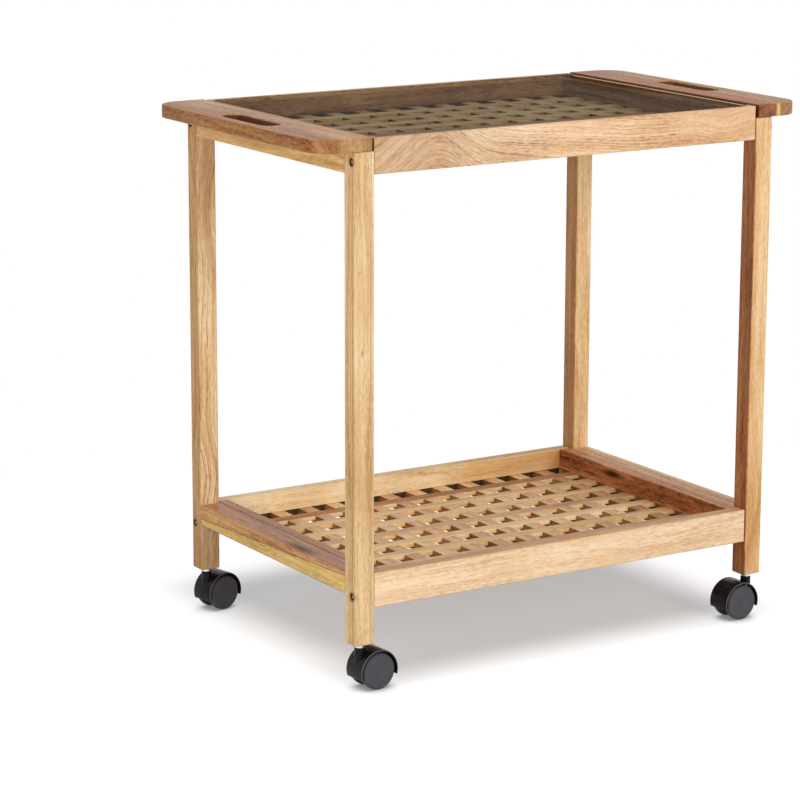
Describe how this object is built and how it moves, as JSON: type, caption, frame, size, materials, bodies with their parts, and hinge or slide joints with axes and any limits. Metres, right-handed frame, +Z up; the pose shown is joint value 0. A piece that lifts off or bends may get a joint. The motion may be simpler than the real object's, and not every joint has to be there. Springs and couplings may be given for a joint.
{
  "type": "kitchen cart",
  "caption": "Low wooden kitchen cart: two end frames with slotted handle boards, two slatted trays, a smoked glass top panel and twin-wheel swivel casters.",
  "frame": {"origin": "on the floor, under the middle of the cart", "axes": "+X along the cart to its right end, +Y from the front to the back, +Z up"},
  "size_m": [0.66, 0.3987, 0.62],
  "materials": {
    "leg_wood": "oiled",
    "rail_wood": "oiled",
    "board_wood": "oiled",
    "slat_wood": "oiled",
    "smoked_glass": "smoked, clear and flat",
    "bright_steel": "bright plated",
    "black_plastic": "semi-gloss moulded",
    "grey_plastic": "matte moulded"
  },
  "bodies": {
    "cart": {"left_front_leg": "leg_wood", "left_rear_leg": "leg_wood", "right_front_leg": "leg_wood", "right_rear_leg": "leg_wood", "left_lower_end_rail": "leg_wood", "left_upper_end_rail": "leg_wood", "right_lower_end_rail": "leg_wood", "right_upper_end_rail": "leg_wood", "left_handle_board": "board_wood", "right_handle_board": "board_wood", "lower_front_rail": "rail_wood", "lower_rear_rail": "rail_wood", "lower_left_rail": "rail_wood", "lower_right_rail": "rail_wood", "upper_front_rail": "rail_wood", "upper_rear_rail": "rail_wood", "upper_left_rail": "rail_wood", "upper_right_rail": "rail_wood", "lower_lattice": "slat_wood", "upper_lattice": "slat_wood", "glass_panel": "smoked_glass", "left_front_lower_bolt": "bright_steel", "left_front_upper_bolt": "bright_steel", "left_rear_lower_bolt": "bright_steel", "left_rear_upper_bolt": "bright_steel", "right_front_lower_bolt": "bright_steel", "right_front_upper_bolt": "bright_steel", "right_rear_lower_bolt": "bright_steel", "right_rear_upper_bolt": "bright_steel", "left_board_front_screw": "bright_steel", "left_board_rear_screw": "bright_steel", "right_board_front_screw": "bright_steel", "right_board_rear_screw": "bright_steel", "left_front_caster_socket": "bright_steel", "left_rear_caster_socket": "bright_steel", "right_front_caster_socket": "bright_steel", "right_rear_caster_socket": "bright_steel"},
    "left_front_caster": {"left_front_caster_stem": "bright_steel", "left_front_caster_hood": "black_plastic", "left_front_caster_axle": "bright_steel"},
    "left_front_right_wheel": {"left_front_caster_right_wheel": "grey_plastic"},
    "left_front_left_wheel": {"left_front_caster_left_wheel": "grey_plastic"},
    "left_rear_caster": {"left_rear_caster_stem": "bright_steel", "left_rear_caster_hood": "black_plastic", "left_rear_caster_axle": "bright_steel"},
    "left_rear_right_wheel": {"left_rear_caster_right_wheel": "grey_plastic"},
    "left_rear_left_wheel": {"left_rear_caster_left_wheel": "grey_plastic"},
    "right_front_caster": {"right_front_caster_stem": "bright_steel", "right_front_caster_hood": "black_plastic", "right_front_caster_axle": "bright_steel"},
    "right_front_right_wheel": {"right_front_caster_right_wheel": "grey_plastic"},
    "right_front_left_wheel": {"right_front_caster_left_wheel": "grey_plastic"},
    "right_rear_caster": {"right_rear_caster_stem": "bright_steel", "right_rear_caster_hood": "black_plastic", "right_rear_caster_axle": "bright_steel"},
    "right_rear_right_wheel": {"right_rear_caster_right_wheel": "grey_plastic"},
    "right_rear_left_wheel": {"right_rear_caster_left_wheel": "grey_plastic"}
  },
  "joints": [
    {"name": "left_front_swivel", "type": "hinge", "parent": "cart", "child": "left_front_caster", "pos_m": [-0.27175, -0.17875, 0.0535], "axis": [0, 0, 1], "continuous": true},
    {"name": "left_front_right_wheel_spin", "type": "hinge", "parent": "left_front_caster", "child": "left_front_right_wheel", "pos_m": [-0.25477, -0.17786, 0.02112], "axis": [-0.0523, 0.9986, 0], "continuous": true},
    {"name": "left_front_left_wheel_spin", "type": "hinge", "parent": "left_front_caster", "child": "left_front_left_wheel", "pos_m": [-0.25477, -0.17786, 0.02112], "axis": [-0.0523, 0.9986, 0], "continuous": true},
    {"name": "left_rear_swivel", "type": "hinge", "parent": "cart", "child": "left_rear_caster", "pos_m": [-0.27175, 0.17875, 0.0535], "axis": [0, 0, 1], "continuous": true},
    {"name": "left_rear_right_wheel_spin", "type": "hinge", "parent": "left_rear_caster", "child": "left_rear_right_wheel", "pos_m": [-0.25506, 0.18199, 0.02112], "axis": [-0.1908, 0.9816, 0], "continuous": true},
    {"name": "left_rear_left_wheel_spin", "type": "hinge", "parent": "left_rear_caster", "child": "left_rear_left_wheel", "pos_m": [-0.25506, 0.18199, 0.02112], "axis": [-0.1908, 0.9816, 0], "continuous": true},
    {"name": "right_front_swivel", "type": "hinge", "parent": "cart", "child": "right_front_caster", "pos_m": [0.27175, -0.17875, 0.0535], "axis": [0, 0, 1], "continuous": true},
    {"name": "right_front_right_wheel_spin", "type": "hinge", "parent": "right_front_caster", "child": "right_front_right_wheel", "pos_m": [0.25476, -0.17934, 0.02112], "axis": [0.0349, -0.9994, 0], "continuous": true},
    {"name": "right_front_left_wheel_spin", "type": "hinge", "parent": "right_front_caster", "child": "right_front_left_wheel", "pos_m": [0.25476, -0.17934, 0.02112], "axis": [0.0349, -0.9994, 0], "continuous": true},
    {"name": "right_rear_swivel", "type": "hinge", "parent": "cart", "child": "right_rear_caster", "pos_m": [0.27175, 0.17875, 0.0535], "axis": [0, 0, 1], "continuous": true},
    {"name": "right_rear_right_wheel_spin", "type": "hinge", "parent": "right_rear_caster", "child": "right_rear_right_wheel", "pos_m": [0.25476, 0.17816, 0.02112], "axis": [0.0349, -0.9994, 0], "continuous": true},
    {"name": "right_rear_left_wheel_spin", "type": "hinge", "parent": "right_rear_caster", "child": "right_rear_left_wheel", "pos_m": [0.25476, 0.17816, 0.02112], "axis": [0.0349, -0.9994, 0], "continuous": true}
  ]
}
